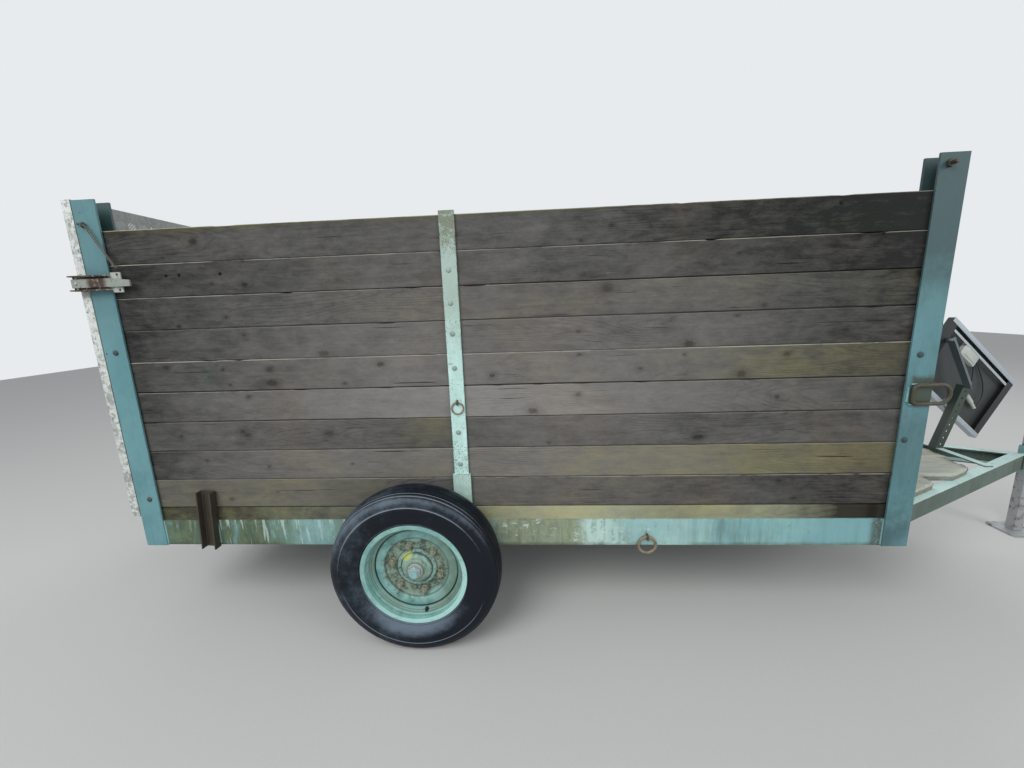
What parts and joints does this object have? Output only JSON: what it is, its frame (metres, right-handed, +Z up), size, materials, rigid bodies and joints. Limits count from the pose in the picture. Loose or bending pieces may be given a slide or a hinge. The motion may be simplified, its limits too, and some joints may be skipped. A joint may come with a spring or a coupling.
{
  "type": "utility trailer",
  "caption": "Single-axle farm utility trailer with high plank sides, ramp tailgate, A-frame drawbar with ring eye and parking leg.",
  "frame": {"origin": "on the ground, at the middle of the whole trailer in plan", "axes": "+X forward to the drawbar eye, +Y to the left, +Z up"},
  "size_m": [4.916, 1.769, 1.867],
  "materials": {
    "mint_paint": "weathered pale mint paint with algae and rust",
    "teal_paint": "dull teal blue paint",
    "pale_mint_paint": "pale mint paint with dark lichen and rust edges",
    "board_wood": "weathered grey brown softwood",
    "floor_wood": "weathered softwood, damp",
    "deck_wood": "bleached softwood",
    "galvanised": "mottled galvanised steel",
    "rusty_steel": "rusty steel",
    "bare_steel": "worn steel",
    "tyre": "worn black rubber",
    "rim_paint": "mint paint with mud",
    "hub_paint": "painted hub with mud",
    "alloy": "clear anodised frame",
    "panel_edge": "black coated frame",
    "panel_back": "matt dark grey sheet",
    "arm_steel": "dark green grey pierced steel"
  },
  "bodies": {
    "chassis": {"rail_right": "mint_paint", "rail_left": "mint_paint", "cross_members": "mint_paint", "rear_member": "mint_paint", "front_member": "mint_paint", "floor_planks": "floor_wood", "side_boards_right": "board_wood", "side_boards_left": "board_wood", "front_boards": "board_wood", "front_uprights": "pale_mint_paint", "front_post_right": "teal_paint", "front_post_left": "teal_paint", "rear_post_right": "teal_paint", "rear_post_left": "teal_paint", "stake_right": "pale_mint_paint", "stake_left": "pale_mint_paint", "stake_pocket_right": "pale_mint_paint", "stake_pocket_left": "pale_mint_paint", "axle_beam": "mint_paint", "axle_gussets": "mint_paint", "axle_nuts": "bare_steel", "drawbar_right": "mint_paint", "drawbar_left": "mint_paint", "drawbar_nose": "mint_paint", "drawbar_brace": "mint_paint", "deck_planks": "deck_wood", "leg_sleeve": "mint_paint", "hinge_lugs": "rusty_steel", "hinge_pins": "bare_steel", "ring_staples": "rusty_steel", "lashing_rings": "rusty_steel", "corner_links": "rusty_steel", "lamp_irons": "rusty_steel", "gate_wire": "bare_steel", "panel_rails": "alloy", "panel_ends": "panel_edge", "panel_back": "panel_back", "panel_arm_lower": "arm_steel", "panel_arm_upper": "arm_steel"},
    "tailgate": {"gate_panel": "galvanised", "gate_ribs": "galvanised", "hinge_eyes": "galvanised", "latch_bracket_right": "rusty_steel", "latch_bracket_left": "rusty_steel", "latch_lever_right": "bare_steel", "latch_lever_left": "bare_steel"},
    "wheel_right": {"tyre_right": "tyre", "rim_right": "rim_paint", "hub_right": "hub_paint"},
    "wheel_left": {"tyre_left": "tyre", "rim_left": "rim_paint", "hub_left": "hub_paint"},
    "parking_leg": {"leg_tube": "bare_steel", "leg_foot": "bare_steel"}
  },
  "joints": [
    {"name": "right_wheel_spin", "type": "hinge", "parent": "chassis", "child": "wheel_right", "pos_m": [-1.115, -0.802, 0.352], "axis": [0, 1, 0], "continuous": true},
    {"name": "left_wheel_spin", "type": "hinge", "parent": "chassis", "child": "wheel_left", "pos_m": [-1.115, 0.802, 0.352], "axis": [0, 1, 0], "continuous": true},
    {"name": "tailgate_swing", "type": "hinge", "parent": "chassis", "child": "tailgate", "pos_m": [-2.43, 0, 0.497], "axis": [0, -1, 0], "range_deg": [0, 110]},
    {"name": "leg_slide", "type": "slide", "parent": "chassis", "child": "parking_leg", "axis": [0, 0, 1], "range_m": [0, 0.28]}
  ]
}
